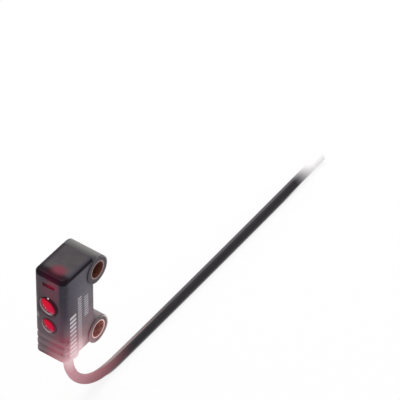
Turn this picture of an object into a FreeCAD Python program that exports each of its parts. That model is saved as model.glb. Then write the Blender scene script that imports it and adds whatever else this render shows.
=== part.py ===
import FreeCAD, Part
import math
import os

# A small diffuse photoelectric sensor: a block housing with two bushed ears behind,
# two lenses in front, a smoked cover on top and a cable that leaves through a gland below.
# Frame: X across the width, -Y towards the target, +Z up. The origin is midway between
# the axes of the two mounting holes, in the middle of the width.

V = FreeCAD.Vector
AXIS_X = V(1, 0, 0)
AXIS_Y = V(0, 1, 0)
AXIS_Z = V(0, 0, 1)

# Housing
width = 7.5
hole_spacing = 16.3
hole_to_front = 10.5
hole_to_rear_face = 1.2
top_above_hole = 4.1
bottom_below_hole = 1.6
front_corner_radius = 1.3
side_wall = 0.75
front_wall = 0.9
wall_at_bushings = 0.6
floor_wall = 1.0
ear_radius = 3.1
boss_height = 0.25

# Bushings
bushing_bore = 3.6
bushing_wall = 0.28
bushing_chamfer = 0.06
press_gap = 0.01

# Grip grooves round the lower front
groove_count = 3
groove_pitch = 1.85
lowest_groove_above_bottom = 1.3
groove_depth = 0.42
groove_half_height = 0.6

# Top cover and its seal
cover_thickness = 1.05
cover_edge_radius = 0.8
skirt_depth = 0.6
skirt_wall = 0.5
seal_width = 0.35
seal_height = 0.5
fit_gap = 0.05

# Lenses
large_lens_below_top = 8.1
lens_pitch = 5.35
large_lens_radius = 2.24
small_lens_radius = 1.84
lens_proud = 0.3
lens_rim = 0.3
lens_flange = 0.26
lens_flange_thickness = 0.5
lens_dish = 0.18
lens_bevel = 0.1
lens_back_rise = 0.35

# Indicator
slot_below_top = 2.7
slot_length = 2.9
slot_height = 0.9
slot_recess = 0.1
guide_post_width = 2.0
guide_post_depth = 1.0

# Optics block and boards
optics_depth = 2.6
optics_margin = 0.35
channel_step = 0.25
board_thickness = 0.7
optics_board_overhang = 0.9
main_board_gap = 0.3
main_board_below_cover = 1.1
rail_depth = 0.5
rail_width = 0.5

# Parts on the boards, each as depth off the board, then length and height on it
receiver_chip_size = (0.6, 2.0, 2.0)
emitter_base_size = (0.4, 1.6, 0.9)
emitter_dome_radius = 0.38
indicator_led_size = (0.5, 1.6, 0.8)
controller_thickness = 0.8
controller_height = 2.6
transistor_size = (0.9, 1.4, 2.6)
capacitor_size = (1.4, 1.6, 2.8)
small_chip_size = (0.35, 0.5, 1.0)
component_gap = 0.4
pin_size = 0.3
pin_on_board = 0.3
pin_pitch = 2.6
pin_count = 3

# Cable gland and clamp
gland_to_front = 5.6
gland_radius = 2.2
gland_length = 3.8
gland_bevel = 0.35
gland_neck_radius = 1.7
gland_flange_radius = 2.1
gland_flange_thickness = 0.6
clamp_length = 1.1
clamp_wall = 0.4
jacket_end_length = 0.5

# Cable and wires
cable_diameter = 2.1
wire_radius = 0.3
wire_circle_radius = 0.55
wire_gap = 0.15
wire_run = 1.5
solder_radius = 0.42
solder_top_radius = 0.25
solder_gap = 0.02

# Derived places
half_width = width / 2
front_y = -hole_to_front
rear_y = -hole_to_rear_face
upper_hole_z = hole_spacing / 2
lower_hole_z = -hole_spacing / 2
top_z = upper_hole_z + top_above_hole
bottom_z = lower_hole_z - bottom_below_hole
cover_under_z = top_z - cover_thickness
inner_half_width = half_width - side_wall
inner_front_y = front_y + front_wall
bushing_radius = bushing_bore / 2 + bushing_wall
inner_rear_y = -bushing_radius - wall_at_bushings
inner_floor_z = bottom_z + floor_wall
large_lens_z = top_z - large_lens_below_top
small_lens_z = large_lens_z - lens_pitch
slot_z = top_z - slot_below_top
optics_rear_y = inner_front_y + optics_depth
optics_board_rear_y = optics_rear_y + board_thickness
main_board_front_y = optics_board_rear_y + main_board_gap
boards_bottom_z = small_lens_z - small_lens_radius - optics_board_overhang
main_board_top_z = cover_under_z - main_board_below_cover
board_face_x = board_thickness / 2
component_front_y = main_board_front_y + pin_on_board + fit_gap
component_rear_y = inner_rear_y - rail_depth - fit_gap
component_y = (component_front_y + component_rear_y) / 2
controller_size = (controller_thickness, component_rear_y - component_front_y, controller_height)
gland_y = front_y + gland_to_front
gland_bottom_z = bottom_z - gland_length
gland_top_z = inner_floor_z + gland_flange_thickness
clamp_top_z = gland_top_z + clamp_length
jacket_top_z = clamp_top_z + jacket_end_length
cable_radius = cable_diameter / 2

# The cable's route: corner points of its straight runs, from the gland down, round to
# the rear and straight on. It lies level from the fifth corner on.
cable_route = [
    V(0, gland_y, gland_bottom_z),
    V(0, -4.9, -15.62),
    V(0, -4.37, -18.64),
    V(0, -2.49, -22.66),
    V(0, 1.51, -26.54),
    V(0, 6.62, -28.4),
    V(-0.05, 16.0, -28.4),
    V(-0.25, 33.0, -28.4),
    V(-0.7, 60.0, -28.4),
    V(-1.25, 85.6, -28.4),
]


def box(x0, x1, y0, y1, z0, z1):
    return Part.makeBox(x1 - x0, y1 - y0, z1 - z0, V(x0, y0, z0))


def cylinder_x(radius, x0, x1, y, z):
    return Part.makeCylinder(radius, x1 - x0, V(x0, y, z), AXIS_X)


def cylinder_y(radius, y0, y1, x, z):
    return Part.makeCylinder(radius, y1 - y0, V(x, y0, z), AXIS_Y)


def cylinder_z(radius, z0, z1, x, y):
    return Part.makeCylinder(radius, z1 - z0, V(x, y, z0), AXIS_Z)


def revolved(points, centre, axis):
    outline = Part.makePolygon(points + [points[0]])
    return Part.Face(outline).revolve(centre, axis, 360)


def block_outline(z, half, front, rear, radius):
    """The plan outline, square behind and rounded at both front corners."""
    bend = radius * (1 - math.sqrt(0.5))
    left_mid = V(-half + bend, front + bend, z)
    right_mid = V(half - bend, front + bend, z)
    edges = [
        Part.makeLine(V(-half, rear, z), V(-half, front + radius, z)),
        Part.Arc(V(-half, front + radius, z), left_mid, V(-half + radius, front, z)).toShape(),
        Part.makeLine(V(-half + radius, front, z), V(half - radius, front, z)),
        Part.Arc(V(half - radius, front, z), right_mid, V(half, front + radius, z)).toShape(),
        Part.makeLine(V(half, front + radius, z), V(half, rear, z)),
        Part.makeLine(V(half, rear, z), V(-half, rear, z)),
    ]
    return Part.Face(Part.Wire(edges))


def ear(hole_z, inward):
    """A round ear that stands proud of both sides as a boss, with a web towards the middle."""
    z0 = min(hole_z, hole_z + inward * ear_radius)
    web = box(-half_width, half_width, rear_y, 0, z0, z0 + ear_radius)
    reach = half_width + boss_height
    return [web, cylinder_x(ear_radius, -reach, reach, 0, hole_z)]


def shoulder():
    """The slope that runs from the flat top onto the upper ear, tangent to its round."""
    rise = top_z - upper_hole_z
    reach = math.hypot(hole_to_rear_face, rise)
    tangent_angle = math.atan2(rise, rear_y) - math.acos(ear_radius / reach)
    tangent = V(-half_width, ear_radius * math.cos(tangent_angle),
                upper_hole_z + ear_radius * math.sin(tangent_angle))
    brow = V(-half_width, rear_y, top_z)
    outline = [brow, tangent, V(-half_width, 0, upper_hole_z), V(-half_width, rear_y, upper_hole_z)]
    wedge = Part.Face(Part.makePolygon(outline + [brow])).extrude(V(width, 0, 0))
    slope_edges = []
    for edge in wedge.Edges:
        heights = sorted(vertex.Z for vertex in edge.Vertexes)
        if abs(heights[0] - tangent.z) < 0.001 and abs(heights[1] - top_z) < 0.001:
            slope_edges.append(edge)
    return wedge.makeFillet(cover_edge_radius, slope_edges)


def groove(z):
    """A V groove across the front that follows both rounded corners."""
    straight_half = half_width - front_corner_radius
    corner_y = front_y + front_corner_radius
    section = [V(0, front_y - groove_depth, z + 2 * groove_half_height),
               V(0, front_y + groove_depth, z),
               V(0, front_y - groove_depth, z - 2 * groove_half_height)]
    face = Part.Face(Part.makePolygon(section + [section[0]]))
    face.translate(V(-straight_half, 0, 0))
    middle = face.extrude(V(2 * straight_half, 0, 0))
    left = face.revolve(V(-straight_half, corner_y, z), AXIS_Z, -90)
    face.translate(V(2 * straight_half, 0, 0))
    right = face.revolve(V(straight_half, corner_y, z), AXIS_Z, 90)
    return [middle, left, right]


def housing():
    shell = block_outline(bottom_z, half_width, front_y, rear_y, front_corner_radius)
    shell = shell.extrude(V(0, 0, cover_under_z - bottom_z))
    shell = shell.fuse(ear(upper_hole_z, -1) + ear(lower_hole_z, 1) + [shoulder()]).removeSplitter()
    cavity = box(-inner_half_width, inner_half_width, inner_front_y, inner_rear_y,
                 inner_floor_z, cover_under_z)
    seat = seal_width + fit_gap
    rebate = box(-inner_half_width - seat, inner_half_width + seat, inner_front_y - seat,
                 inner_rear_y + seat, cover_under_z - seal_height, cover_under_z)
    cuts = [cavity, rebate]
    for hole_z in (upper_hole_z, lower_hole_z):
        cuts.append(cylinder_x(bushing_radius + press_gap, -width, width, 0, hole_z))
    for lens_z, radius in ((large_lens_z, large_lens_radius), (small_lens_z, small_lens_radius)):
        cuts.append(cylinder_y(radius + press_gap, front_y - 1, inner_front_y, 0, lens_z))
    half_slot = slot_length / 2 + press_gap
    half_slot_height = slot_height / 2 + press_gap
    cuts.append(box(-half_slot, half_slot, front_y - 1, inner_front_y,
                    slot_z - half_slot_height, slot_z + half_slot_height))
    cuts.append(cylinder_z(gland_neck_radius + press_gap, bottom_z, inner_floor_z, 0, gland_y))
    for index in range(groove_count):
        cuts.extend(groove(bottom_z + lowest_groove_above_bottom + index * groove_pitch))
    shell = shell.cut(cuts)
    inner_x = board_face_x + fit_gap
    rails = []
    for side in (-1, 1):
        near = min(side * inner_x, side * (inner_x + rail_width))
        rails.append(box(near, near + rail_width, inner_rear_y - rail_depth, inner_rear_y,
                         boards_bottom_z, main_board_top_z))
    rail_reach = inner_x + rail_width
    rails.append(box(-rail_reach, rail_reach, inner_rear_y - rail_depth, inner_rear_y,
                     boards_bottom_z - rail_width, boards_bottom_z))
    return shell.fuse(rails).removeSplitter()


def top_cover():
    """The smoked cover, with a skirt that drops into the housing inside the seal."""
    plate = block_outline(cover_under_z, half_width, front_y, rear_y, front_corner_radius)
    plate = plate.extrude(V(0, 0, cover_thickness))
    rim = []
    for edge in plate.Edges:
        points = [vertex.Point for vertex in edge.Vertexes]
        on_top = all(abs(p.z - top_z) < 0.001 for p in points)
        at_rear = all(abs(p.y - rear_y) < 0.001 for p in points)
        if on_top and not at_rear:
            rim.append(edge)
    plate = plate.makeFillet(cover_edge_radius, rim)
    outer_half = inner_half_width - fit_gap
    front = inner_front_y + fit_gap
    rear = inner_rear_y - fit_gap
    skirt = box(-outer_half, outer_half, front, rear, cover_under_z - skirt_depth, cover_under_z)
    inside = box(-outer_half + skirt_wall, outer_half - skirt_wall, front + skirt_wall,
                 rear - skirt_wall, cover_under_z - skirt_depth, cover_under_z)
    return plate.fuse(skirt.cut(inside)).removeSplitter()


def cover_seal():
    """A flat rubber ring in the rebate round the cover's skirt."""
    inner_half = inner_half_width
    outer = box(-inner_half - seal_width, inner_half + seal_width, inner_front_y - seal_width,
                inner_rear_y + seal_width, cover_under_z - seal_height, cover_under_z)
    inner = box(-inner_half, inner_half, inner_front_y, inner_rear_y,
                cover_under_z - seal_height, cover_under_z)
    return outer.cut(inner)


def dome(radius, rise, y, z, outward):
    """A shallow dome that stands on the plane y and rises along -Y or +Y (outward)."""
    ball_radius = (radius ** 2 + rise ** 2) / (2 * rise)
    ball = Part.makeSphere(ball_radius, V(0, y + outward * (rise - ball_radius), z))
    start = min(y, y + outward * 2 * rise)
    return ball.common(cylinder_y(radius, start, start + 2 * rise, 0, z))


def lens(radius, z):
    """A lens with a domed face inside its bevelled rim, a flange and a domed back."""
    rim_y = front_y - lens_proud + lens_dish
    optic = radius - lens_rim
    flange_y = inner_front_y + lens_flange_thickness
    body = cylinder_y(radius, rim_y, inner_front_y, 0, z)
    rim = [e for e in body.Edges if all(abs(v.Y - rim_y) < 0.001 for v in e.Vertexes)]
    body = body.makeChamfer(lens_bevel, rim)
    flange = cylinder_y(radius + lens_flange, inner_front_y, flange_y, 0, z)
    front = dome(optic, lens_dish, rim_y, z, -1)
    back = dome(optic, lens_back_rise, flange_y, z, 1)
    return body.fuse([flange, front, back]).removeSplitter()


def light_guide():
    """A clear guide that carries the indicator's light to the front slot and the cover."""
    led_y = optics_rear_y - indicator_led_size[0] - fit_gap
    low = slot_z - slot_height / 2
    bar = box(-slot_length / 2, slot_length / 2, front_y + slot_recess, led_y,
              low, slot_z + slot_height / 2)
    post = box(-guide_post_width / 2, guide_post_width / 2, led_y - guide_post_depth, led_y,
               low, cover_under_z)
    return bar.fuse(post).removeSplitter()


def optics_block():
    """A black block with one light channel for each lens and a wall between them."""
    half = inner_half_width - fit_gap
    top = large_lens_z + large_lens_radius + lens_flange + optics_margin
    bottom = small_lens_z - small_lens_radius - lens_flange - optics_margin
    block = box(-half, half, inner_front_y, optics_rear_y, bottom, top)
    cuts = []
    for lens_z, radius in ((large_lens_z, large_lens_radius), (small_lens_z, small_lens_radius)):
        seat = radius + lens_flange + press_gap
        cuts.append(cylinder_y(seat, inner_front_y, inner_front_y + lens_flange_thickness, 0, lens_z))
        cuts.append(cylinder_y(radius - channel_step, inner_front_y, optics_rear_y, 0, lens_z))
    return block.cut(cuts)


def optics_board():
    half = inner_half_width - 2 * fit_gap
    return box(-half, half, optics_rear_y, optics_board_rear_y,
               boards_bottom_z, slot_z + optics_board_overhang)


def on_optics_board(size, z):
    depth, across, height = size
    return box(-across / 2, across / 2, optics_rear_y - depth, optics_rear_y,
               z - height / 2, z + height / 2)


def emitter_led():
    base = on_optics_board(emitter_base_size, small_lens_z)
    face_y = optics_rear_y - emitter_base_size[0]
    ball = Part.makeSphere(emitter_dome_radius, V(0, face_y, small_lens_z))
    front_half = box(-1, 1, face_y - 1, face_y, small_lens_z - 1, small_lens_z + 1)
    return base.fuse(ball.common(front_half)).removeSplitter()


def main_board():
    return box(-board_face_x, board_face_x, main_board_front_y, inner_rear_y - fit_gap,
               boards_bottom_z, main_board_top_z)


def on_main_board(size, side, y, z):
    """A block on the main board's +X face (side 1) or -X face (side -1)."""
    depth, along, height = size
    near = board_face_x if side > 0 else -board_face_x - depth
    return box(near, near + depth, y - along / 2, y + along / 2, z - height / 2, z + height / 2)


def stacked(heights):
    """Centre heights of parts that stand one above another, clear of the solder joints."""
    centres = []
    low = boards_bottom_z + wire_run + 2 * solder_radius + component_gap
    for height in heights:
        centres.append(low + height / 2)
        low += height + component_gap
    return centres


def chip_pairs(levels):
    """Two small chips side by side at each level on the +X face."""
    apart = (small_chip_size[1] + component_gap) / 2
    pairs = []
    for z in levels:
        for step in (-apart, apart):
            pairs.append(on_main_board(small_chip_size, 1, component_y + step, z))
    return Part.makeCompound(pairs)


def board_pins():
    pins = []
    for index in range(pin_count):
        z = small_lens_z + index * pin_pitch
        pins.append(box(board_face_x, board_face_x + pin_size, optics_board_rear_y,
                        main_board_front_y + pin_on_board, z - pin_size / 2, z + pin_size / 2))
    return Part.makeCompound(pins)


def bushing(hole_z):
    """A plain metal bushing, flush with the ear's bosses and chamfered in its bore."""
    half = half_width + boss_height
    bore = bushing_bore / 2
    mouth = bore + bushing_chamfer
    inset = half - bushing_chamfer
    points = [V(-half, mouth, hole_z), V(-half, bushing_radius, hole_z),
              V(half, bushing_radius, hole_z),
              V(half, mouth, hole_z), V(inset, bore, hole_z), V(-inset, bore, hole_z)]
    return revolved(points, V(0, 0, hole_z), AXIS_X)


def cable_gland():
    """The gland: a boss below the floor, a neck through it and a flange inside."""
    boss = cylinder_z(gland_radius, gland_bottom_z, bottom_z, 0, gland_y)
    lower_rim = [e for e in boss.Edges if all(abs(v.Z - gland_bottom_z) < 0.001 for v in e.Vertexes)]
    boss = boss.makeChamfer(gland_bevel, lower_rim)
    neck = cylinder_z(gland_neck_radius, bottom_z, inner_floor_z, 0, gland_y)
    flange = cylinder_z(gland_flange_radius, inner_floor_z, gland_top_z, 0, gland_y)
    bore = cylinder_z(cable_radius + press_gap, gland_bottom_z, gland_top_z, 0, gland_y)
    return boss.fuse([neck, flange]).cut(bore).removeSplitter()


def cable_inner_end():
    return cylinder_z(cable_radius, gland_bottom_z, jacket_top_z, 0, gland_y)


def cable_clamp():
    """A metal ring crimped round the cable on top of the gland."""
    outer = cylinder_z(cable_radius + clamp_wall, gland_top_z, clamp_top_z, 0, gland_y)
    return outer.cut(cylinder_z(cable_radius + press_gap, gland_top_z, clamp_top_z, 0, gland_y))


def tube(points, radius):
    """A tube along straight runs that are joined by tangent arcs. Returns it with the arc radii."""
    edges = []
    radii = []
    start = points[0]
    for index in range(1, len(points) - 1):
        corner = points[index]
        before = points[index - 1] - corner
        after = points[index + 1] - corner
        half_turn = (math.pi - before.getAngle(after)) / 2
        reach = 0.45 * min(before.Length, after.Length)
        radii.append(reach / math.tan(half_turn))
        first = corner + V(before).normalize() * reach
        last = corner + V(after).normalize() * reach
        inward = (V(before).normalize() + V(after).normalize()).normalize()
        bend_radius = radii[-1]
        middle = corner + inward * (bend_radius / math.cos(half_turn) - bend_radius)
        edges.append(Part.LineSegment(start, first).toShape())
        edges.append(Part.Arc(first, middle, last).toShape())
        start = last
    edges.append(Part.LineSegment(start, points[-1]).toShape())
    path = Part.Wire(edges)
    ring = Part.Wire(Part.makeCircle(radius, points[0], points[1] - points[0]))
    return path.makePipe(Part.Face(ring)), radii


def cable():
    solid, radii = tube(cable_route, cable_radius)
    print("cable bend radii", [round(value, 1) for value in radii])
    return solid


def wire_end(side, y):
    """Where a wire meets the main board's face."""
    return V(side * (board_face_x + wire_radius + press_gap), y, boards_bottom_z + wire_run)


def wire(angle, side, y):
    """A wire that leans from the cable's end to the board's face and runs up along it."""
    start = V(wire_circle_radius * math.cos(math.radians(angle)),
              gland_y + wire_circle_radius * math.sin(math.radians(angle)), jacket_top_z + wire_gap)
    end = wire_end(side, y)
    return tube([start, V(end.x, end.y, boards_bottom_z - 2 * wire_radius), end], wire_radius)[0]


def solder_joints(ends):
    """A bead of solder on the board's face above each wire's end."""
    beads = []
    for side, y in ends:
        foot = V(side * board_face_x, y, wire_end(side, y).z + solder_radius + solder_gap)
        beads.append(Part.makeCone(solder_radius, solder_top_radius, 2 * wire_radius, foot, AXIS_X * side))
    return Part.makeCompound(beads)


def save(name, shape):
    os.makedirs("parts", exist_ok=True)
    if not shape.isValid():
        print("invalid", name)
    print(name, "volume", round(shape.Volume, 2))
    shape.exportStep("parts/" + name + ".step")


chip_height = small_chip_size[2]
right_levels = stacked([chip_height, chip_height, controller_height, chip_height, chip_height])
left_levels = stacked([capacitor_size[2], transistor_size[2], transistor_size[2]])
wire_spread = wire_radius + solder_radius
wires = {
    "wire_brown": (210, -1, component_y - wire_spread / 2),
    "wire_black": (90, -1, component_y + wire_spread),
    "wire_blue": (330, 1, component_y),
}
wire_ends = [(side, y) for angle, side, y in wires.values()]

save("housing", housing())
save("top_cover", top_cover())
save("cover_seal", cover_seal())
save("receiver_lens", lens(large_lens_radius, large_lens_z))
save("emitter_lens", lens(small_lens_radius, small_lens_z))
save("light_guide", light_guide())
save("optics_block", optics_block())
save("optics_board", optics_board())
save("receiver_chip", on_optics_board(receiver_chip_size, large_lens_z))
save("emitter_led", emitter_led())
save("indicator_led", on_optics_board(indicator_led_size, slot_z))
save("main_board", main_board())
save("board_pins", board_pins())
save("controller_chip", on_main_board(controller_size, 1, component_y, right_levels[2]))
save("chip_resistors", chip_pairs(right_levels[:2]))
save("chip_capacitors", chip_pairs(right_levels[3:]))
save("power_capacitor", on_main_board(capacitor_size, -1, component_y, left_levels[0]))
save("output_transistors", Part.makeCompound(
    [on_main_board(transistor_size, -1, component_y, z) for z in left_levels[1:]]))
save("upper_bushing", bushing(upper_hole_z))
save("lower_bushing", bushing(lower_hole_z))
save("cable_gland", cable_gland())
save("cable_inner_end", cable_inner_end())
save("cable_clamp", cable_clamp())
for wire_name, (angle, side, y) in wires.items():
    save(wire_name, wire(angle, side, y))
save("solder_joints", solder_joints(wire_ends))
save("cable", cable())
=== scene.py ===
# %% [markdown]
# # A small photoelectric sensor, dressed for its picture
# The real thing is a moulded block as small as the end of a finger. It looks forward
# through two red lenses, has a smoked cover on top, two bushed ears behind and a thin
# cable below. The solids come from the CAD frame, so this lesson is about the light, the
# camera and the finishes, and about the few pieces that are better drawn than turned.

# %% Load the frame
import math

import bmesh
import bpy
from mathutils import Euler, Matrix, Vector


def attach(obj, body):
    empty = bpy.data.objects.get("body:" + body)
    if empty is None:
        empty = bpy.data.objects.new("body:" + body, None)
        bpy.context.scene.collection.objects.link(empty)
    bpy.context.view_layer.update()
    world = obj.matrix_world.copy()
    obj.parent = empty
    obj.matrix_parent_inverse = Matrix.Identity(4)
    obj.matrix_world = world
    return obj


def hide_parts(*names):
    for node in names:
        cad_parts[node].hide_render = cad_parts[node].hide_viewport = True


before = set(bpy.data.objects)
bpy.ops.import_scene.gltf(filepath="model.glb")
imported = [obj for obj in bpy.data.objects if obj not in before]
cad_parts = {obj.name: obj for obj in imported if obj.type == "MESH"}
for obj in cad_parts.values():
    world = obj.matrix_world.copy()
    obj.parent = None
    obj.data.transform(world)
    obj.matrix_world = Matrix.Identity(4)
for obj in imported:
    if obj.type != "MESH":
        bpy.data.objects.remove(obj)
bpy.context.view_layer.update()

print("nodes:", len(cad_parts))

# %% [markdown]
# ## Millimetres and colours
# Blender measures in metres, but a part like this is drawn in millimetres. Two small
# helpers keep the rest readable: one turns millimetres into metres, the other turns the
# 0 to 255 colours that a picture viewer shows into the linear values that shaders use.

# %% Small helpers
MM = 0.001


def point(x, y, z):
    """A place given in millimetres, in the frame's metres."""
    return Vector((x, y, z)) * MM


def colour(red, green, blue):
    """A shader colour from the 0 to 255 values of a picture."""
    values = []
    for value in (red, green, blue):
        share = value / 255
        values.append(share / 12.92 if share <= 0.04045 else ((share + 0.055) / 1.055) ** 2.4)
    return (*values, 1)


print("a mid grey is", [round(v, 3) for v in colour(128, 128, 128)[:3]])

# %% [markdown]
# ## The camera
# The picture was taken from the front right and well above, through a long lens from about
# eighty centimetres away, so the block's edges stay nearly parallel. Place, turn and lens
# were worked out from the edges and the round holes, whose real sizes are known. A long
# lens far away looks different from a wide one close by, even when both fill the frame.

# %% Place the camera
CAMERA_PLACE = (348.836, -447.839, 561.523)
CAMERA_TURN = (46.5887, -0.4441, 36.01)
camera_data = bpy.data.cameras.new("view_camera")
camera = bpy.data.objects.new("view_camera", camera_data)
bpy.context.scene.collection.objects.link(camera)
camera.location = point(*CAMERA_PLACE)
camera.rotation_euler = Euler([math.radians(a) for a in CAMERA_TURN], "XYZ")
camera_data.sensor_width = 36
camera_data.lens = 365.195
camera_data.clip_start = 0.05
camera_data.clip_end = 20
bpy.context.scene.camera = camera
print("camera is", round(camera.location.length * 1000), "mm from the origin")

# %% [markdown]
# ## The cable
# A thin round cable leaves the gland straight down, turns to the rear and lies along the
# floor. It could be a mesh tube, but a curve is a cable's natural form: the points below
# are its control points, and the smooth line is drawn between them. The order is set after
# the points, because a spline takes its order from what it already holds. A curve's box
# counts the radius of its points, so they get a small one and the bevel makes up for it.

# %% Draw the cable
CABLE_RADIUS = 1.05
POINT_RADIUS = 0.02
CABLE_ROUTE = [
    (0, -4.9, -13.55),
    (0, -4.9, -15.62),
    (0, -4.34, -18.62),
    (0, -2.38, -22.54),
    (0, 1.55, -26.38),
    (0, 6.62, -28.4),
    (-0.05, 16.0, -28.4),
    (-0.25, 33.0, -28.4),
    (-0.7, 60.0, -28.4),
    (-1.25, 85.6, -28.4),
]
cable_curve = bpy.data.curves.new("cable_line", "CURVE")
cable_curve.dimensions = "3D"
cable_line = cable_curve.splines.new("NURBS")
cable_line.points.add(len(CABLE_ROUTE) - 1)
for control, place in zip(cable_line.points, CABLE_ROUTE):
    control.co = (*point(*place), 1)
    control.radius = POINT_RADIUS * MM
cable_line.order_u = 3
cable_line.use_endpoint_u = True
cable_line.resolution_u = 24
cable_curve.bevel_depth = CABLE_RADIUS / POINT_RADIUS
cable_curve.bevel_resolution = 8
cable_curve.use_fill_caps = True
print("cable control points:", len(CABLE_ROUTE))

# %% [markdown]
# The curve then takes the place of the CAD cable. It rides on the same body, and its
# diameter is stated.

cable = bpy.data.objects.new("cable_run", cable_curve)
bpy.context.scene.collection.objects.link(cable)
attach(cable, "root")
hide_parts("cable")
print("cable diameter, mm:", 2 * CABLE_RADIUS)

# %% [markdown]
# ## Smooth rounds on the CAD pieces
# The CAD pieces arrive as triangles. Their rounds should shade smoothly while true edges
# stay crisp. Marking every edge sharper than a set angle does both, and no vertex moves.

# %% Shade the rounds
SHARP_ANGLE = 28
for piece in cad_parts.values():
    piece.data.shade_smooth()
    piece.data.set_sharp_from_angle(angle=math.radians(SHARP_ANGLE))
print("shaded", len(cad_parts), "pieces")

# %% [markdown]
# ## Materials and nodes
# A finish is a small graph that ends in one Principled shader. Writing each node out by
# hand hides the idea, so these helpers start a finish, make a node with its inputs joined,
# join the results to the shader, and give a CAD piece its finish. Every pattern reads the
# object's own coordinates in millimetres, so it stays on the piece from every side.

# %% Helpers for materials
def add(tree, kind, inputs, **settings):
    """A node with its settings, its inputs joined or set by name or number."""
    made = tree.nodes.new(kind)
    for key, value in settings.items():
        setattr(made, key, value)
    for key, value in inputs.items():
        if isinstance(value, bpy.types.NodeSocket):
            tree.links.new(value, made.inputs[key])
        else:
            made.inputs[key].default_value = value
    return made


def start_finish(name, roughness, **constants):
    """A new material, its graph and its places in millimetres. The constants are set on the
    shader's own sockets."""
    material = bpy.data.materials.new(name)
    material.use_nodes = True
    tree = material.node_tree
    shader = tree.nodes["Principled BSDF"]
    shader.inputs["Roughness"].default_value = roughness
    for socket, value in constants.items():
        shader.inputs[socket.replace("_", " ")].default_value = value
    here = add(tree, "ShaderNodeTexCoord", {}).outputs["Object"]
    scale = add(tree, "ShaderNodeVectorMath", {0: here, 3: 1 / MM}, operation="SCALE")
    return material, tree, scale.outputs[0]


def connect(material, **outputs):
    """Joins worked-out values to the material's shader."""
    tree = material.node_tree
    for socket, output in outputs.items():
        tree.links.new(output, tree.nodes["Principled BSDF"].inputs[socket.replace("_", " ")])


def wear_finish(material, *nodes):
    """Gives CAD pieces a finish in place of the plain one that they came with."""
    for name in nodes:
        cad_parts[name].data.materials.clear()
        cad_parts[name].data.materials.append(material)
    print(material.name, "on", ", ".join(nodes))


for helper in (add, start_finish, connect, wear_finish):
    print(helper.__name__ + ":", helper.__doc__.split(".")[0])

# %% [markdown]
# ## Directions and sums
# Two questions come up in every finish: where is this point, and which way does it face?
# Both answers are vectors, so the next helpers take one part of a vector, stretch it, or
# measure it along a direction, and do plain sums with the numbers that come out.

# %% Helpers for vectors and numbers
def facing(tree):
    """Which way the surface faces, in the object's own directions."""
    return add(tree, "ShaderNodeTexCoord", {}).outputs["Normal"]


def part_of(tree, vector, axis):
    """One of the three parts of a vector."""
    return add(tree, "ShaderNodeSeparateXYZ", {0: vector}).outputs["XYZ".index(axis)]


def stretched(tree, vector, factors):
    """A vector with each of its parts multiplied by a factor of its own."""
    made = add(tree, "ShaderNodeVectorMath", {0: vector, 1: factors}, operation="MULTIPLY")
    return made.outputs[0]


def reach(tree, vector, direction):
    """How far a vector reaches along a direction."""
    made = add(tree, "ShaderNodeVectorMath", {0: vector, 1: direction}, operation="DOT_PRODUCT")
    return made.outputs["Value"]


def calc(tree, operation, first, second=0.0):
    """A sum, product, largest or other plain calculation."""
    return add(tree, "ShaderNodeMath", {0: first, 1: second}, operation=operation).outputs[0]


def unsigned(tree, value):
    """A value without its sign, so that left and right count the same."""
    return calc(tree, "ABSOLUTE", value)


for helper in (facing, part_of, stretched, reach, calc, unsigned):
    print(helper.__name__ + ":", helper.__doc__.split(".")[0])

# %% [markdown]
# ## Masks
# A mask is a number from 0 to 1 that says how much of a layer shows at a point. A fade runs
# along one measure, a spot is round, and where several masks are multiplied the layer shows
# only where all of them agree. A number among them makes the layer thinner.

# %% Helpers for masks
def fade(tree, value, start, end):
    """Goes smoothly from 0 at start to 1 at end, whichever is larger."""
    limits = {"Value": value, "From Min": start, "From Max": end}
    return add(tree, "ShaderNodeMapRange", limits, interpolation_type="SMOOTHSTEP").outputs[0]


def ramp(tree, value, low, high, start=0.0, end=1.0):
    """Goes straight from low at start to high at end, and stays there."""
    limits = {"Value": value, "From Min": start, "From Max": end, "To Min": low, "To Max": high}
    return add(tree, "ShaderNodeMapRange", limits).outputs[0]


def near(tree, place, middle, full, none):
    """1 within full millimetres of a point, 0 beyond none, and smooth between."""
    gap = add(tree, "ShaderNodeVectorMath", {0: place, 1: middle}, operation="DISTANCE")
    return fade(tree, gap.outputs["Value"], none, full)


def beyond(tree, place, middle, none, full):
    """0 within none millimetres of a point, 1 beyond full, and smooth between."""
    return near(tree, place, middle, full, none)


def both(tree, first, *others):
    """The product of masks: 1 only where all of them are."""
    for other in others:
        first = calc(tree, "MULTIPLY", first, other)
    return first


def either(tree, first, *others):
    """The largest of the masks: 1 where any of them is."""
    for other in others:
        first = calc(tree, "MAXIMUM", first, other)
    return first


for helper in (fade, ramp, near, beyond, both, either):
    print(helper.__name__ + ":", helper.__doc__.split(".")[0])

# %% [markdown]
# ## Colours, grain and relief
# The last helpers lay one colour over another by a mask, draw a soft random pattern of a
# given size, and turn a pattern into bumps. The bumps are hundredths of a millimetre deep,
# too fine to count as shape.

# %% Helpers for colour and grain
def blend(tree, share, first, second):
    """The first colour where share is 0, the second where it is 1."""
    mixed = add(tree, "ShaderNodeMix", {0: share, 6: first, 7: second}, data_type="RGBA")
    return mixed.outputs[2]


def grain(tree, place, size, detail=2.0):
    """A soft random pattern whose spots are about size millimetres across."""
    inputs = {"Vector": place, "Scale": 1 / size, "Detail": detail}
    return add(tree, "ShaderNodeTexNoise", inputs).outputs[0]


def relief(tree, height, depth, radius=0.0):
    """A bumpy surface, depth in millimetres, with its edges eased over radius."""
    inputs = {"Height": height, "Distance": depth * MM, "Strength": 1.0}
    if radius:
        eased = add(tree, "ShaderNodeBevel", {"Radius": radius * MM}, samples=4)
        inputs["Normal"] = eased.outputs[0]
    return add(tree, "ShaderNodeBump", inputs).outputs[0]


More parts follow.
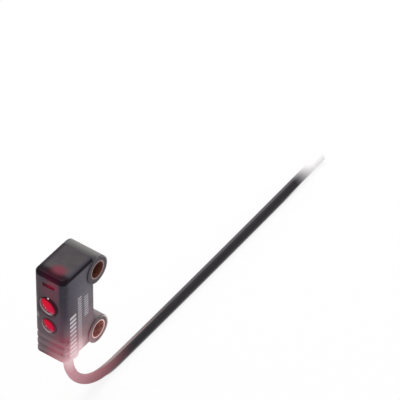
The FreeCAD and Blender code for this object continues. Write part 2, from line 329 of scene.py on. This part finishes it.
for helper in (blend, grain, relief):
    print(helper.__name__ + ":", helper.__doc__.split(".")[0])

# %% [markdown]
# ## The rosy haze
# The picture shows a pale pink haze where the block ends and the cable starts, as if stray
# red light met the pale ground. The haze spans several pieces, so it is one helper that
# each finish calls. On the block it spreads from the lower right corner, further up than
# across. Below the block it spreads from the mouth of the gland. It goes from rose at its
# edge to pink, and is nearly white round a third middle, low on the right side.

# %% Haze helper
HAZE_STRETCH = (1.6, 1.0, 0.85)
BLOCK_HAZE = (5.76, -8.8, -10.2)
MOUTH_HAZE = (0.0, -4.5, -16.0)
PALE_HAZE = (2.8, -6.2, -12.6)
ROSE = colour(146, 88, 98)
PINK = colour(212, 160, 168)
PALE = colour(254, 222, 226)


def hazed(tree, place, base, rose=ROSE, pink=PINK):
    """The base colour under the rosy haze, a painted glow of stray red light."""
    patchy = ramp(tree, grain(tree, place, 2.5, 1.0), 0.88, 1.0)
    block = near(tree, stretched(tree, place, HAZE_STRETCH), BLOCK_HAZE, 2.5, 10.6)
    block = both(tree, block, patchy)
    below = fade(tree, part_of(tree, place, "Z"), -10.5, -14.0)
    wide = both(tree, near(tree, place, MOUTH_HAZE, 12.5, 24.5), below)
    close = both(tree, near(tree, place, MOUTH_HAZE, 0.5, 15.0), below)
    rosy = either(tree, fade(tree, block, 0.0, 0.55), wide)
    paler = either(tree, fade(tree, block, 0.4, 0.9), close)
    tinted = blend(tree, paler, blend(tree, rosy, base, rose), pink)
    return blend(tree, near(tree, place, PALE_HAZE, 1.8, 6.8), tinted, PALE)


print("haze middles, mm:", BLOCK_HAZE, MOUTH_HAZE, PALE_HAZE)

# %% [markdown]
# ## Moulded housing
# The block is one moulding of dark grey glass-filled plastic. Its finish is laid on in
# layers, as a painter would do it: the front, the sides, the ears, and then the haze and
# the grooves. First the material is started and its measures are read. The short end walls
# of the grooves face forward but lie in the side, so they are counted with the side.

# %% Start the housing
housing, tree, place = start_finish("moulded_housing", 0.5, Specular_IOR_Level=0.22)
right = part_of(tree, place, "X")
along = part_of(tree, place, "Y")
height = part_of(tree, place, "Z")
across = unsigned(tree, right)
upward = part_of(tree, facing(tree), "Z")
end_wall = both(tree, fade(tree, along, -9.26, -9.22), fade(tree, across, 3.2, 3.3),
                fade(tree, along, -9.0, -9.1))
sideways = either(tree, end_wall,
                  fade(tree, unsigned(tree, part_of(tree, facing(tree), "X")), 0.35, 0.95))
print("nodes so far:", len(tree.nodes))

# %% [markdown]
# ### Front
# The front is mauve grey, and lighter lower down. Red light spills onto it from the cover
# and the slot, a pale gleam lies beside the lenses, and the openings throw a little shade.
# These spots differ only in place, size and colour, so they are rows of one table: the
# middle, the reach of the full colour, the reach of its edge, and the colour.

# %% Front of the housing
# Painted light and shade: red spill from the cover and the slot, pale gleams beside the lenses,
# and painted shadows round the openings.
FRONT_SPOTS = [
    ((0.6, -10.5, 8.2), 0.8, 3.6, (100, 49, 66)),
    ((1.2, -10.5, 10.6), 0.3, 2.0, (122, 42, 66)),
    ((-3.4, -10.4, 4.2), 0.5, 1.8, (110, 94, 96)),
    ((-3.3, -10.5, 0.35), 0.2, 1.2, (148, 146, 144)),
    ((-0.35, -10.5, 3.65), 2.3, 2.8, (60, 34, 44)),
    ((2.7, -10.5, 1.0), 0.3, 2.2, (74, 52, 73)),
    ((-2.3, -10.5, 2.0), 0.2, 0.8, (44, 36, 40)),
]
front = blend(tree, fade(tree, height, 4.0, -4.0), colour(70, 53, 62), colour(98, 79, 87))
for middle, full, none, shade in FRONT_SPOTS:
    front = blend(tree, near(tree, place, middle, full, none), front, colour(*shade))
# Painted shade along the front's right edge, beside the rounded corner.
right_edge = both(tree, fade(tree, right, 2.2, 2.9), fade(tree, height, 2.0, 8.0))
front = blend(tree, right_edge, front, colour(35, 30, 45))
# Painted light: a pinker tint at the lower right, towards the haze.
low_right = both(tree, fade(tree, right, 0.0, 3.2), fade(tree, height, 3.0, -2.0))
front = blend(tree, low_right, front, colour(97, 59, 77))
print("spots on the front:", len(FRONT_SPOTS))

# %% [markdown]
# ### Sides
# The sides face the open studio, and a painted reflection makes them bluer than the front,
# most of all at the top. Painted shade makes them darker towards the front and darkest
# beside the rounded front corner, and painted light makes them lighter lower down. A thin
# mottle over the whole block keeps the plastic from looking painted.

# %% Sides of the housing
# Painted shade towards the front, a painted reflection bluer at the top, and painted light
# lower down.
side = blend(tree, fade(tree, along, -9.6, -3.6), colour(60, 45, 62), colour(111, 106, 113))
side = blend(tree, both(tree, fade(tree, height, 2.0, 10.0), 0.6), side, colour(71, 67, 86))
side = blend(tree, fade(tree, height, 3.5, -5.0), side, colour(130, 106, 113))
body = blend(tree, sideways, front, side)
# Painted shade beside the rounded front corner.
corner = both(tree, fade(tree, along, -8.4, -9.3), fade(tree, height, 2.0, 9.0), sideways)
body = blend(tree, corner, body, colour(42, 34, 50))
mottle = both(tree, fade(tree, grain(tree, place, 1.3), 0.35, 0.75), 0.3)
body = blend(tree, mottle, body, colour(76, 70, 76))
print("nodes so far:", len(tree.nodes))

# %% [markdown]
# ### Ears
# The rounds of the ears catch the light from above, more so towards the rear. The flat
# bosses round the holes are turned away from it and stay darker. In the picture the bright
# ground washes out their rear edges, so each boss has a narrow pale rim there, on the
# right side only.

# %% Ears of the housing
HOLE_Z = 8.15
EAR_RIMS = [(-HOLE_Z, 2.6, (246, 238, 238)), (HOLE_Z, 2.8, (196, 190, 190))]
# Painted light on the rounds of the ears, stronger towards the rear.
upper_top = both(tree, fade(tree, height, 4.0, 6.0), fade(tree, upward, 0.15, 0.6))
upper_light = blend(tree, fade(tree, along, -1.0, 2.2), colour(64, 62, 62),
                    colour(124, 122, 121))
body = blend(tree, upper_top, body, upper_light)
lower_top = both(tree, fade(tree, height, 4.0, 2.0), fade(tree, upward, 0.1, 0.6),
                 fade(tree, along, -3.0, -1.0))
lower_light = blend(tree, fade(tree, along, -1.5, 1.2), colour(88, 80, 84),
                    colour(140, 128, 130))
body = blend(tree, lower_top, body, lower_light)
# Painted shade on the flat bosses round the holes.
boss = both(tree, fade(tree, across, 3.76, 3.8), fade(tree, along, -3.2, -2.9))
boss_shade = blend(tree, fade(tree, height, 2.0, -2.0), colour(72, 65, 71), colour(100, 84, 86))
body = blend(tree, boss, body, boss_shade)
from_side = stretched(tree, place, (0.0, 1.0, 1.0))
rear_right = both(tree, fade(tree, along, -0.4, 0.9), fade(tree, right, 3.6, 3.9), sideways)
# Painted light: pale rims where the bright ground washes out the bosses' rear edges.
for hole, inner, shade in EAR_RIMS:
    ring = both(tree, beyond(tree, from_side, (0, 0, hole), inner, 3.0),
                near(tree, from_side, (0, 0, hole), 3.3, 3.8))
    below_top = fade(tree, height, hole + 3.15, hole + 1.65)
    body = blend(tree, both(tree, ring, below_top, rear_right), body, colour(*shade))
print("the holes are", 2 * HOLE_Z, "mm apart")

# %% [markdown]
# ### Haze and grooves
# The haze, a painted glow, is redder on the front than on the sides. It is palest at the
# lowest corner, and painted shade shows the side's lower edge as a darker line through it.
# In the grooves painted shade darkens the walls that face down and painted light makes the
# ones that face up a little lighter. Such plastic has a fine spark-eroded grain, and handling
# has polished it in patches, so the grain is a bump and a broader pattern varies the roughness.

# %% Haze and grooves of the housing
LOW_CORNER = (3.4, -9.8, -10.0)
side_rose = blend(tree, fade(tree, along, -9.6, -7.8), colour(152, 77, 93),
                  colour(156, 120, 127))
rose = blend(tree, sideways, colour(150, 68, 84), side_rose)
pink = blend(tree, sideways, colour(170, 94, 106), PINK)
body = hazed(tree, place, body, rose, pink)
body = blend(tree, both(tree, near(tree, place, LOW_CORNER, 0.3, 2.4), 0.5), body,
             colour(240, 178, 188))
# Painted shade along the side's lower edge.
low_edge = both(tree, fade(tree, along, -5.4, -3.6), fade(tree, height, -7.2, -9.0),
                sideways, 0.6)
body = blend(tree, low_edge, body, colour(140, 96, 104))
grooved = both(tree, fade(tree, along, -8.9, -9.3), fade(tree, height, -3.8, -4.1),
               fade(tree, across, 3.65, 3.2))
# Painted shade on the groove walls that face down, painted light on those that face up.
shaded = both(tree, grooved, fade(tree, upward, -0.2, -0.45), 0.45)
body = blend(tree, shaded, body, colour(30, 14, 20))
lit_groove_walls = both(tree, grooved, fade(tree, upward, 0.2, 0.45), 0.13)
body = blend(tree, lit_groove_walls, body, colour(250, 226, 232))
connect(housing, Base_Color=body, Roughness=ramp(tree, grain(tree, place, 0.5), 0.42, 0.6),
        Normal=relief(tree, grain(tree, place, 0.09, 3.0), 0.012, 0.1))
wear_finish(housing, "housing")

# %% [markdown]
# ## Smoked cover
# The cover is clear plastic with a smoky tint. Its face is painted mid grey, a painted
# reflection of the bright studio, and its rounded rim is nearly black, because there the eye
# looks through much more plastic. At the front a painted glow stands for the indicator
# lighting it from inside: a dull maroon zone, with a rosy patch over the end of the light
# guide.

# %% Cover finish
LIT_MIDDLE = (0.35, -9.6, 0.0)
PATCH_MIDDLE = (0.45, -7.75, 0.0)
cover, tree, place = start_finish("smoked_cover", 0.3, Specular_IOR_Level=0.05)
along = part_of(tree, place, "Y")
right = part_of(tree, place, "X")
cloudy = fade(tree, grain(tree, place, 3.0), 0.3, 0.7)
# Painted reflection: the mid grey of the face, lighter at the right and darker at the left and
# front.
face = blend(tree, cloudy, colour(72, 67, 70), colour(80, 76, 78))
face = blend(tree, fade(tree, right, 2.5, 3.4), face, colour(70, 66, 75))
face = blend(tree, fade(tree, right, -2.2, -3.2), face, colour(53, 47, 53))
face = blend(tree, fade(tree, along, -7.6, -9.2), face, colour(26, 17, 23))
from_top = stretched(tree, place, (0.75, 1.0, 0.0))
# Painted glow of the indicator: the maroon zone, the rosy patch and the red on the rim.
lit_front = near(tree, from_top, LIT_MIDDLE, 0.6, 2.4)
face = blend(tree, lit_front, face, colour(49, 5, 24))
patch = near(tree, from_top, PATCH_MIDDLE, 0.3, 1.9)
face = blend(tree, patch, face, colour(118, 55, 69))
rim = blend(tree, lit_front, colour(24, 19, 28), colour(66, 10, 34))
level = fade(tree, part_of(tree, facing(tree), "Z"), 0.45, 0.88)
connect(cover, Base_Color=blend(tree, level, rim, face),
        Normal=relief(tree, grain(tree, place, 0.2, 3.0), 0.004, 0.12))
wear_finish(cover, "top_cover")

# %% [markdown]
# ## Red lenses
# Both lenses are clear red windows with a bevelled rim. What reads as red is the lit inside
# of the tube behind the dome, seen a little off centre, so a dark crescent of the tube's
# near wall shows at the upper right and a dull one of its far wall at the lower left. Each
# crescent is what a wide disc leaves free. The red is pinker at its low end, and the bare
# rim catches pale light at the lower left. One function makes the finish for a lens of any
# height and radius. A lamp small enough for the sharp sparks in the picture would need many
# samples, so these are painted.

# %% Lens helper
LEAN = Vector((0.632, 0.0, 0.775))
RIM_LEAN = Vector((0.74, 0.0, 0.67))
LENS_DRIFT = Vector((-0.1, 0.0, 0.12))
WARM_MIDDLE = Vector((-0.4, 0, 0.6))
LOW_END = Vector((0.5, 0, -0.8))


def lens_finish(name, height, optic, dark_side, pale_side, dark_rim, sparks):
    """A red window round (0, height). The tube behind it has the radius optic, and its lit
    part ends dark_side and pale_side millimetres from its middle, towards the upper right
    and the lower left. A spark is a place in X and Z, a radius and a colour."""
    glass, tree, place = start_finish(name, 0.06, Specular_IOR_Level=0.04)
    from_front = stretched(tree, place, (1.0, 0.0, 1.0))
    middle = Vector((0, 0, height)) + LENS_DRIFT

    def disc(side, direction, softness):
        """A wide disc whose edge crosses LEAN at side and the tube's edge at both ends."""
        shift = (optic ** 2 - side ** 2) / (2 * side)
        edge = side + shift
        return near(tree, from_front, middle - LEAN * shift * direction, edge - softness,
                    edge + softness)

    # Painted light and shade: the lit tube's red, its dark and dull crescents, the pinker low
    # end, the pale rim and the sparks.
    warm = near(tree, from_front, middle + WARM_MIDDLE, 0.2, optic)
    behind = blend(tree, warm, colour(210, 16, 68), colour(227, 8, 46))
    behind = blend(tree, disc(pale_side, -1, 0.2), colour(114, 62, 72), behind)
    behind = blend(tree, disc(dark_side, 1, 0.3), colour(68, 4, 22), behind)
    low_end = near(tree, from_front, middle + LOW_END * optic, 0.1, 0.8)
    behind = blend(tree, both(tree, low_end, 0.75), behind, colour(186, 92, 116))
    low_left = calc(tree, "SUBTRACT", middle.dot(RIM_LEAN), reach(tree, from_front, RIM_LEAN))
    rim = blend(tree, fade(tree, low_left, 0.2, 1.4), colour(*dark_rim), colour(206, 188, 192))
    inside = near(tree, from_front, middle, optic - 0.02, optic + 0.1)
    whole = blend(tree, inside, rim, behind)
    for x, z, radius, shade in sparks:
        spot = near(tree, from_front, (x, 0, z), radius * 0.6, radius * 1.3)
        whole = blend(tree, spot, whole, colour(*shade))
    connect(glass, Base_Color=whole, Normal=relief(tree, grain(tree, place, 0.8), 0.004))
    return glass


print("the view leans by", round(math.degrees(math.atan2(LEAN.x, LEAN.z))), "degrees")

# %% [markdown]
# The large lens takes the light in and the small one sends it out. The large one has the
# bright white spark and three pink ones, and the small one has a single pink spark and a
# paler rim.

# %% Lens finishes
WHITE_SPARK = (255, 250, 250)
PINK_SPARK = (232, 136, 154)
large_lens = lens_finish("large_lens_red", 4.15, 1.94, 1.22, 1.16, (46, 22, 30), [
    (-0.08, 6.28, 0.19, WHITE_SPARK), (-1.1, 3.98, 0.12, PINK_SPARK),
    (-0.7, 3.52, 0.15, PINK_SPARK), (-0.42, 2.95, 0.11, PINK_SPARK)])
small_lens = lens_finish("small_lens_red", -1.2, 1.54, 1.26, 0.5, (84, 50, 60), [
    (-0.62, -1.5, 0.17, PINK_SPARK)])
wear_finish(large_lens, "receiver_lens")
wear_finish(small_lens, "emitter_lens")

# %% [markdown]
# ## Light guide
# A clear red bar ends in the slot above the lenses and glows when the sensor sees
# something. Clear plastic that is lit from one end is brighter there and dull at the other.

# %% Light guide finish
guide, tree, place = start_finish("lit_guide", 0.3, Specular_IOR_Level=0.03)
# Painted glow: the guide is brighter red at its lit end.
lit_end = fade(tree, part_of(tree, place, "X"), -1.4, 0.6)
streaks = fade(tree, grain(tree, place, 0.4), 0.3, 0.8)
dull = blend(tree, streaks, colour(60, 14, 26), colour(78, 18, 34))
connect(guide, Base_Color=blend(tree, lit_end, dull, colour(132, 0, 44)),
        Normal=relief(tree, grain(tree, place, 0.3), 0.004))
wear_finish(guide, "light_guide")

# %% [markdown]
# ## Bushings
# The ears are lined with rolled metal bushings, so that a screw can be pulled tight without
# crushing the plastic. The bore is brown from its plating, stained, and dark with depth. The
# end face, turned last, is pale. The lower bushing lies in the haze and is rosier. Fine
# scratches run along the bore, so their pattern is squeezed across it.

# %% Bushing finish
bushing, tree, place = start_finish("plated_bushing", 0.36, Metallic=0.2,
                                    Specular_IOR_Level=0.4)
depth = unsigned(tree, part_of(tree, place, "X"))
lower = fade(tree, part_of(tree, place, "Z"), 2.0, -2.0)
# Painted shade: the bore is darker deeper in.
plating = blend(tree, fade(tree, depth, 1.8, 3.9), colour(100, 54, 46), colour(140, 86, 72))
# Painted glow of the haze on the lower bushing.
plating = blend(tree, both(tree, lower, 0.9), plating, colour(212, 146, 138))
stain = both(tree, fade(tree, grain(tree, place, 0.7), 0.35, 0.7), 0.5)
plating = blend(tree, stain, plating, colour(92, 52, 42))
# Painted glow of the haze: the lower end face is rosier and paler.
end_face = blend(tree, lower, colour(150, 124, 122), colour(248, 202, 194))
turned = fade(tree, unsigned(tree, part_of(tree, facing(tree), "X")), 0.4, 0.85)
scratches = grain(tree, stretched(tree, place, (1.0, 6.0, 6.0)), 0.8, 3.0)
connect(bushing, Base_Color=blend(tree, turned, plating, end_face),
        Normal=relief(tree, scratches, 0.006, 0.05))
wear_finish(bushing, "upper_bushing", "lower_bushing")

# %% [markdown]
# ## Gland
# The gland holds the cable and keeps it from being bent sharply. It is a softer black
# plastic than the housing, with a coarser grain, and it lies in the middle of the haze.

# %% Gland finish
gland, tree, place = start_finish("gland_plastic", 0.55, Specular_IOR_Level=0.3)
skin = blend(tree, fade(tree, grain(tree, place, 0.6), 0.35, 0.7), colour(48, 44, 48),
             colour(58, 54, 58))
# Painted glow: the haze over the gland.
connect(gland, Base_Color=hazed(tree, place, skin),
        Normal=relief(tree, grain(tree, place, 0.12, 3.0), 0.01, 0.08))
wear_finish(gland, "cable_gland")

# %% [markdown]
# ## Cable jacket
# The jacket is extruded, so its surface has faint lines along its length, and a painted
# highlight lies along its upper side, warmer near the block. Towards its far end the cable
# is faded into the white ground, and a pale, bleached end stands for that. The cut end shows
# the three cores that run in the jacket.

# %% Jacket finish
SHEEN_SIDE = (-0.34, 0.0, 0.94)
CORE_CIRCLE = 0.44
CORES = [(90, (92, 52, 30)), (210, (24, 24, 25)), (330, (30, 66, 140))]
jacket, tree, place = start_finish("cable_jacket", 0.48, Specular_IOR_Level=0.12)
along = part_of(tree, place, "Y")
drawn = grain(tree, stretched(tree, place, (8.0, 0.4, 8.0)), 1.5, 3.0)
skin = blend(tree, fade(tree, drawn, 0.35, 0.7), colour(38, 35, 39), colour(48, 45, 49))
# Painted glow: the haze over the jacket near the block.
skin = hazed(tree, place, skin, colour(154, 100, 108), colour(216, 158, 168))
# Painted highlight along the jacket's upper side, warmer near the block.
sheen_mask = both(tree, fade(tree, reach(tree, facing(tree), SHEEN_SIDE), 0.88, 1.0),
             fade(tree, along, 4.0, 9.0))
sheen_colour = blend(tree, fade(tree, along, 32.0, 8.0), colour(92, 87, 90), colour(160, 142, 140))
skin = blend(tree, sheen_mask, skin, sheen_colour)
skin = blend(tree, fade(tree, along, 74.6, 82.2), skin, colour(246, 244, 245))
cut_end = colour(70, 68, 70)
end_x, end_y, end_z = CABLE_ROUTE[-1]
for turn, shade in CORES:
    core = (end_x + CORE_CIRCLE * math.cos(math.radians(turn)), end_y,
            end_z + CORE_CIRCLE * math.sin(math.radians(turn)))
    cut_end = blend(tree, near(tree, place, core, 0.3, 0.34), cut_end, colour(*shade))
at_end = both(tree, fade(tree, part_of(tree, facing(tree), "Y"), 0.7, 0.9),
              fade(tree, along, 84.0, 85.0))
skin = blend(tree, at_end, skin, cut_end)
connect(jacket, Base_Color=skin, Normal=relief(tree, drawn, 0.006))
wear_finish(jacket, "cable_inner_end")
cable_curve.materials.append(jacket)

# %% [markdown]
# ## Inside pieces
# Boards, chips and wires sit in the closed block and show only in a section view, but they
# are dressed as well. Most differ from each other only in two colours, how coarse their
# mottling is, roughness and metal, so these are rows of a table and one loop makes them all.

# %% Finishes for the inside
INSIDE = [
    ("seal_rubber", (24, 24, 25), (34, 33, 34), 0.3, 0.8, 0.0, ["cover_seal"]),
    ("optics_black", (18, 18, 19), (28, 27, 29), 0.2, 0.7, 0.0, ["optics_block"]),
    ("board_green", (18, 74, 44), (26, 96, 58), 0.5, 0.45, 0.0,
     ["optics_board", "main_board"]),
    ("chip_black", (26, 26, 28), (38, 38, 40), 0.1, 0.6, 0.0,
     ["receiver_chip", "controller_chip", "output_transistors"]),
    ("emitter_clear", (214, 206, 190), (238, 232, 220), 0.3, 0.2, 0.0,
     ["emitter_led", "indicator_led"]),
    ("pin_metal", (196, 164, 92), (224, 196, 130), 0.2, 0.3, 0.9, ["board_pins"]),
    ("capacitor_body", (150, 120, 70), (176, 146, 92), 0.2, 0.55, 0.0,
     ["power_capacitor", "chip_capacitors"]),
    ("resistor_body", (30, 32, 40), (60, 62, 70), 0.15, 0.45, 0.0, ["chip_resistors"]),
    ("clamp_metal", (150, 148, 144), (186, 184, 180), 0.2, 0.35, 0.9, ["cable_clamp"]),
    ("core_brown", (92, 52, 30), (108, 64, 38), 0.3, 0.5, 0.0, ["wire_brown"]),
    ("core_black", (24, 24, 25), (34, 34, 35), 0.3, 0.5, 0.0, ["wire_black"]),
    ("core_blue", (30, 66, 140), (42, 82, 160), 0.3, 0.5, 0.0, ["wire_blue"]),
    ("solder_tin", (168, 168, 170), (204, 204, 206), 0.2, 0.3, 0.9, ["solder_joints"]),
]
for name, dark, light, size, roughness, metal, nodes in INSIDE:
    made, tree, place = start_finish(name, roughness, Metallic=metal)
    pattern = grain(tree, place, size, 3.0)
    mixed = blend(tree, fade(tree, pattern, 0.35, 0.65), colour(*dark), colour(*light))
    connect(made, Base_Color=mixed, Normal=relief(tree, pattern, 0.006))
    wear_finish(made, *nodes)

# %% [markdown]
# ## Printed marks
# The side carries pad-printed marks, three columns of plain bars. A print is a film of ink,
# so each bar is a very thin plate with rounded corners on the housing's face. A texture
# would do too, but a plate keeps its edge sharp at any distance. Its foot is sunk a little
# way into the housing, so that no gap of light shows under it.

# %% Bar helper
SIDE_X = 3.75
INK_HEIGHT = 0.015
INK_SUNK = 0.004
RING_POINTS = 16


def bar_outline(mesh, x, y, z, long, tall):
    """Points round a rounded bar, long in Y and tall in Z, in order as seen from the right."""
    corner = 0.3 * min(long, tall)
    ring = []
    for turn in range(RING_POINTS):
        angle = (turn + 0.5) * math.tau / RING_POINTS
        side_y = 1 if math.cos(angle) > 0 else -1
        side_z = 1 if math.sin(angle) > 0 else -1
        ring.append(mesh.verts.new(point(
            x, y + side_y * (long / 2 - corner) + corner * math.cos(angle),
            z + side_z * (tall / 2 - corner) + corner * math.sin(angle))))
    return ring


def add_bar(mesh, y, z, long, tall):
    """A thin closed plate on the right side: two outlines with walls between them."""
    top = bar_outline(mesh, SIDE_X + INK_HEIGHT, y, z, long, tall)
    foot = bar_outline(mesh, SIDE_X - INK_SUNK, y, z, long, tall)
    mesh.faces.new(top)
    mesh.faces.new(foot[::-1])
    for turn in range(RING_POINTS):
        mesh.faces.new((top[turn - 1], foot[turn - 1], foot[turn], top[turn]))


print("a film of ink is", INK_HEIGHT, "mm thick")

# %% [markdown]
# A column has its place along the side, its lowest and highest bar, the bars' length and
# height, and their pitch. All columns go into one mesh, because one pad prints them at once.

# %% Draw the marks
COLUMNS = [
    (-7.75, -8.9, 1.2, 2.0, 0.7, 1.12),
    (-5.55, -8.9, 5.1, 1.2, 0.3, 0.62),
    (-3.45, -1.3, 4.2, 1.3, 0.3, 0.62),
]
marks_mesh = bmesh.new()
bars = 0
for y, lowest, highest, long, tall, pitch in COLUMNS:
    for index in range(int((highest - lowest) / pitch) + 1):
        add_bar(marks_mesh, y, lowest + index * pitch, long, tall)
        bars += 1
marks_data = bpy.data.meshes.new("side_marks")
marks_mesh.to_mesh(marks_data)
marks_mesh.free()
marks = bpy.data.objects.new("side_marks", marks_data)
bpy.context.scene.collection.objects.link(marks)
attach(marks, "root")
print("bars:", bars)

# %% [markdown]
# The ink is pale grey and lies a little unevenly, so that the dark plastic shows through
# where it is thin. The first column is printed more thickly than the others. The haze lies
# over the ink as it does over the housing.

# %% Ink finish
ink, tree, place = start_finish("pale_ink", 0.6, Specular_IOR_Level=0.2)
thin = fade(tree, grain(tree, place, 0.25, 3.0), 0.3, 0.7)
film = blend(tree, fade(tree, part_of(tree, place, "Y"), -6.2, -6.6), colour(196, 191, 197),
             colour(218, 210, 216))
film = blend(tree, both(tree, thin, 0.4), film, colour(150, 144, 152))
# Painted glow: the haze over the ink.
connect(ink, Base_Color=hazed(tree, place, film, colour(206, 178, 184), PALE),
        Normal=relief(tree, thin, 0.003))
marks_data.materials.append(ink)
print(ink.name, "on side_marks")

# %% [markdown]
# ## Floor
# A product picture like this is taken on a white ground. The floor is a pale sheet. To the
# camera it glows nearly white, which gives the clean ground of the picture, and only a
# narrow line along the cable, where little sky reaches it, is dark. Where the cable fades
# into the ground, that line fades too. A Light Path node tells the rays that show the
# floor from the rays that carry its light, so the glow doesn't light the part.

# %% Floor
FLOOR_Z = -29.46
SKY_REACH = 0.4


def shown(tree):
    """1 for rays that show a surface: straight, in a gloss or through clear plastic."""
    path = add(tree, "ShaderNodeLightPath", {}).outputs
    return either(tree, path["Is Camera Ray"], path["Is Glossy Ray"],
                  path["Is Transmission Ray"])


bpy.ops.mesh.primitive_plane_add(size=3, location=point(0, 0, FLOOR_Z))
floor = bpy.context.object
floor.name = "studio_floor"
paper, tree, place = start_finish("floor_paper", 0.9, Specular_IOR_Level=0.1)
pulp = blend(tree, grain(tree, place, 3.0), colour(238, 238, 238), colour(246, 246, 246))
connect(paper, Base_Color=pulp)
open_sky = add(tree, "ShaderNodeAmbientOcclusion", {"Distance": SKY_REACH * MM}, samples=8)
contact = ramp(tree, open_sky.outputs["AO"], 0.1, 1.0, 0.55, 0.85)
faded_end = fade(tree, part_of(tree, place, "Y"), 68.0, 78.0)
white = add(tree, "ShaderNodeEmission", {"Color": (1, 1, 1, 1),
                                         "Strength": either(tree, contact, faded_end)})
ground = add(tree, "ShaderNodeMixShader", {
    0: both(tree, shown(tree), 0.85), 1: tree.nodes["Principled BSDF"].outputs[0],
    2: white.outputs[0]})
tree.links.new(ground.outputs[0], tree.nodes["Material Output"].inputs["Surface"])
floor.data.materials.append(paper)
print("floor at", FLOOR_Z, "mm")

# %% [markdown]
# ## Studio light
# The world does the same as the floor: it shows white to the camera and in reflections, and
# lights the part at a plainer level. A single large soft lamp, high up to the left and a
# little behind, gives the tops their light and the ground a trace of shadow.

# %% World and lamp
world = bpy.data.worlds.new("studio")
bpy.context.scene.world = world
world.use_nodes = True
tree = world.node_tree
sky_light = tree.nodes["Background"]
sky_light.inputs["Color"].default_value = (1, 1, 1, 1)
sky_light.inputs["Strength"].default_value = 0.72
white_sky = add(tree, "ShaderNodeBackground", {"Color": (1, 1, 1, 1), "Strength": 1.0})
sky = add(tree, "ShaderNodeMixShader", {0: shown(tree), 1: sky_light.outputs[0],
                                        2: white_sky.outputs[0]})
tree.links.new(sky.outputs[0], tree.nodes["World Output"].inputs["Surface"])


def softbox(name, place, target, size, power):
    """A square soft lamp that faces a point."""
    lamp = bpy.data.lights.new(name, "AREA")
    lamp.size = size * MM
    lamp.energy = power
    holder = bpy.data.objects.new(name, lamp)
    bpy.context.scene.collection.objects.link(holder)
    holder.location = point(*place)
    aim = point(*target) - holder.location
    holder.rotation_euler = aim.to_track_quat("-Z", "Y").to_euler()
    print(name, "is", round(aim.length * 1000), "mm away")


softbox("key_softbox", (-150, 130, 480), (0, 0, 0), 300, 1.34)
bpy.context.scene.view_settings.view_transform = "Standard"

# %% [markdown]
# The dressed part has to stay in the CAD's box.
